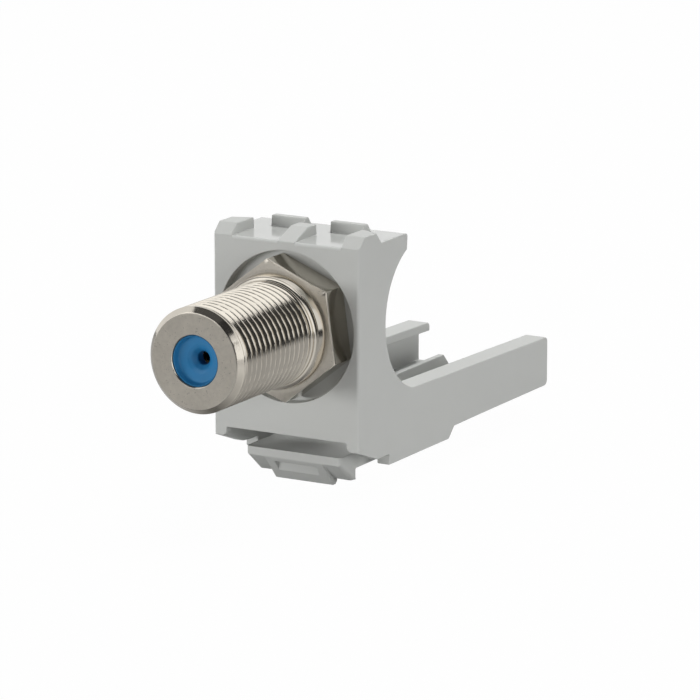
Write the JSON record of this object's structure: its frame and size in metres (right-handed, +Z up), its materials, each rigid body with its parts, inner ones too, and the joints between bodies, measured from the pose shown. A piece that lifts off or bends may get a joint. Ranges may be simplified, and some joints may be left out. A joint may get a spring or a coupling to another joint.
{
  "type": "coaxial connector",
  "caption": "Snap-in coaxial coupler: a threaded splice clamped in a moulded carrier with a toothed roof, two rear arms and a sprung latch lever.",
  "frame": {"origin": "on the axis of the two ports, in the plane of the carrier's front face", "axes": "+Y from the front port towards the cable side, +Z up towards the toothed roof, +X to the right seen from the front"},
  "size_m": [0.0148, 0.0535, 0.0233],
  "materials": {
    "carrier_plastic": "light grey moulded plastic, satin",
    "latch_plastic": "light grey moulded plastic, satin",
    "nickel_brass": "turned brass with a nickel skin, warm grey",
    "spring_steel": "plated spring steel",
    "contact_brass": "bare bronze spring metal",
    "blue_insulator": "blue moulded plastic, smooth"
  },
  "bodies": {
    "carrier": {"housing": "carrier_plastic", "connector_body": "nickel_brass", "front_insulator": "blue_insulator", "rear_insulator": "blue_insulator", "centre_contact": "contact_brass", "rear_bush": "nickel_brass", "lock_washer": "spring_steel", "rear_nut": "nickel_brass"},
    "latch": {"release_latch": "latch_plastic"}
  },
  "joints": [
    {"name": "latch_pivot", "type": "hinge", "parent": "carrier", "child": "latch", "pos_m": [0, 0.0135, -0.012], "axis": [-1, 0, 0], "range_deg": [0, 7], "stiffness_Nm_per_rad": 0.2}
  ]
}
